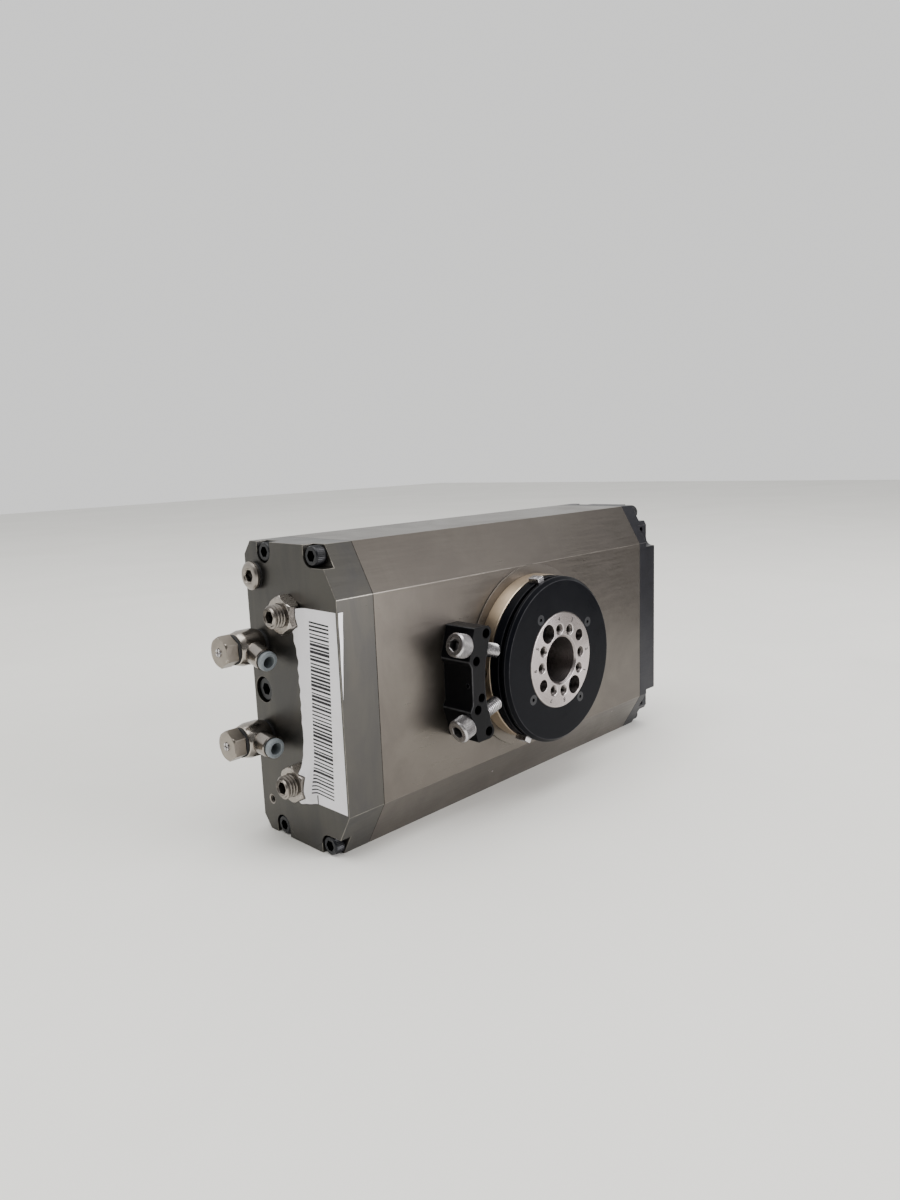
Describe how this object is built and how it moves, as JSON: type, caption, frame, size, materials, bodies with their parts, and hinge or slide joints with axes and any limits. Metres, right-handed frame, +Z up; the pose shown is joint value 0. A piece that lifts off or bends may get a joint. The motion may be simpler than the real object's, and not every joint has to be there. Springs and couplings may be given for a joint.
{
  "type": "pneumatic swivel unit",
  "caption": "Rack-and-pinion pneumatic swivel unit: chamfered block housing with end caps, flow-control elbows, stop screws, a round output flange and a sensor bracket.",
  "frame": {"origin": "on the swivel axis, in the plane of the back mounting face", "axes": "+X along the cylinders from the near cap to the far cap, +Y from the output flange to the back, +Z up"},
  "size_m": [0.3097, 0.0993, 0.1598],
  "materials": {
    "housing_anodised": "hard anodised, satin, olive grey",
    "near_cap_anodised": "hard anodised, satin, dark olive",
    "far_cap_anodised": "hard anodised, satin, dark grey",
    "black_steel": "black oxide",
    "bright_steel": "turned, bright zinc",
    "bearing_steel": "ground",
    "rubber_black": "moulded, matte",
    "cover_gold": "turned, satin",
    "black_anodised": "black anodised, satin",
    "flange_steel": "fine turned",
    "paper": "plain paper",
    "piston_aluminium": "machined",
    "guide_plastic": "filled bearing plastic",
    "nickel_plate": "nickel plated, satin",
    "collar_plastic": "moulded"
  },
  "bodies": {
    "unit": {"housing": "housing_anodised", "near_end_cap": "near_cap_anodised", "far_end_cap": "far_cap_anodised", "near_cap_screws": "black_steel", "far_cap_screws": "black_steel", "near_cap_centre_screw": "black_steel", "sensor_bracket_screws": "black_steel", "front_cover_screws": "black_steel", "rear_cover_screws": "black_steel", "stop_lock_nuts": "bright_steel", "port_plug": "bright_steel", "knurled_screws": "bright_steel", "front_bearing_outer_race": "bearing_steel", "rear_bearing_outer_race": "bearing_steel", "near_cap_o_rings": "rubber_black", "far_cap_o_rings": "rubber_black", "far_cap_dampers": "rubber_black", "port_plug_seal": "rubber_black", "shaft_seal": "rubber_black", "elbow_seals": "rubber_black", "front_bearing_cover": "cover_gold", "sensor_bracket": "black_anodised", "rear_cover": "black_anodised", "inventory_label": "paper", "upper_elbow_bolt": "nickel_plate", "lower_elbow_bolt": "nickel_plate"},
    "output": {"pinion_shaft": "bearing_steel", "output_flange": "flange_steel", "flange_screws": "black_steel", "flange_dowels": "bright_steel", "trip_cam_ring": "black_anodised", "trip_cam_ring_screws": "black_steel", "front_bearing_inner_race": "bearing_steel", "rear_bearing_inner_race": "bearing_steel"},
    "front_rollers": {"front_bearing_rollers": "bearing_steel"},
    "rear_rollers": {"rear_bearing_rollers": "bearing_steel"},
    "upper_piston": {"upper_rack_piston": "piston_aluminium", "upper_piston_seals": "rubber_black", "upper_guide_bands": "guide_plastic"},
    "upper_stop": {"upper_stop_screw": "bright_steel"},
    "upper_elbow": {"upper_elbow_body": "nickel_plate"},
    "upper_collar": {"upper_release_collar": "collar_plastic"},
    "upper_throttle": {"upper_throttle_screw": "nickel_plate"},
    "upper_cam": {"upper_trip_cam": "bright_steel"},
    "lower_piston": {"lower_rack_piston": "piston_aluminium", "lower_piston_seals": "rubber_black", "lower_guide_bands": "guide_plastic"},
    "lower_stop": {"lower_stop_screw": "bright_steel"},
    "lower_elbow": {"lower_elbow_body": "nickel_plate"},
    "lower_collar": {"lower_release_collar": "collar_plastic"},
    "lower_throttle": {"lower_throttle_screw": "nickel_plate"},
    "lower_cam": {"lower_trip_cam": "bright_steel"}
  },
  "joints": [
    {"name": "output_swivel", "type": "hinge", "parent": "unit", "child": "output", "pos_m": [0, 0, 0], "axis": [0, -1, 0], "range_deg": [-79.5, 100.5]},
    {"name": "upper_piston_slide", "type": "slide", "parent": "unit", "child": "upper_piston", "axis": [1, 0, 0], "range_m": [-0.0439, 0.03474]},
    {"name": "lower_piston_slide", "type": "slide", "parent": "unit", "child": "lower_piston", "axis": [1, 0, 0], "range_m": [-0.03474, 0.0439]},
    {"name": "front_rollers_turn", "type": "hinge", "parent": "unit", "child": "front_rollers", "pos_m": [0, 0, 0], "axis": [0, -1, 0], "range_deg": [-37.43, 47.29]},
    {"name": "rear_rollers_turn", "type": "hinge", "parent": "unit", "child": "rear_rollers", "pos_m": [0, 0, 0], "axis": [0, -1, 0], "range_deg": [-37.26, 47.07]},
    {"name": "upper_elbow_swivel", "type": "hinge", "parent": "unit", "child": "upper_elbow", "pos_m": [-0.15305, -0.009, 0.025], "axis": [-1, 0, 0], "range_deg": [-75, 75]},
    {"name": "upper_collar_push", "type": "slide", "parent": "upper_elbow", "child": "upper_collar", "axis": [0, 0.9703, 0.2419], "range_m": [0, 0.001], "stiffness_N_per_m": 800, "springref_m": -0.0015},
    {"name": "upper_throttle_turn", "type": "hinge", "parent": "unit", "child": "upper_throttle", "pos_m": [-0.15305, -0.009, 0.025], "axis": [-1, 0, 0], "range_deg": [-360, 360]},
    {"name": "upper_stop_adjust", "type": "slide", "parent": "unit", "child": "upper_stop", "axis": [-1, 0, 0], "range_m": [0, 0.004]},
    {"name": "upper_cam_adjust", "type": "hinge", "parent": "output", "child": "upper_cam", "pos_m": [0, 0, 0], "axis": [0, -1, 0], "range_deg": [-15, 15]},
    {"name": "lower_elbow_swivel", "type": "hinge", "parent": "unit", "child": "lower_elbow", "pos_m": [-0.15305, -0.009, -0.025], "axis": [-1, 0, 0], "range_deg": [-75, 75]},
    {"name": "lower_collar_push", "type": "slide", "parent": "lower_elbow", "child": "lower_collar", "axis": [0, 0.9989, 0.0471], "range_m": [0, 0.001], "stiffness_N_per_m": 800, "springref_m": -0.0015},
    {"name": "lower_throttle_turn", "type": "hinge", "parent": "unit", "child": "lower_throttle", "pos_m": [-0.15305, -0.009, -0.025], "axis": [-1, 0, 0], "range_deg": [-360, 360]},
    {"name": "lower_stop_adjust", "type": "slide", "parent": "unit", "child": "lower_stop", "axis": [-1, 0, 0], "range_m": [0, 0.004]},
    {"name": "lower_cam_adjust", "type": "hinge", "parent": "output", "child": "lower_cam", "pos_m": [0, 0, 0], "axis": [0, -1, 0], "range_deg": [-15, 15]}
  ],
  "couplings": [
    {"joint": "upper_piston_slide", "follows": "output_swivel", "m_per_rad": -0.025},
    {"joint": "lower_piston_slide", "follows": "output_swivel", "m_per_rad": 0.025},
    {"joint": "front_rollers_turn", "follows": "output_swivel", "ratio": 0.46957},
    {"joint": "rear_rollers_turn", "follows": "output_swivel", "ratio": 0.46739}
  ]
}
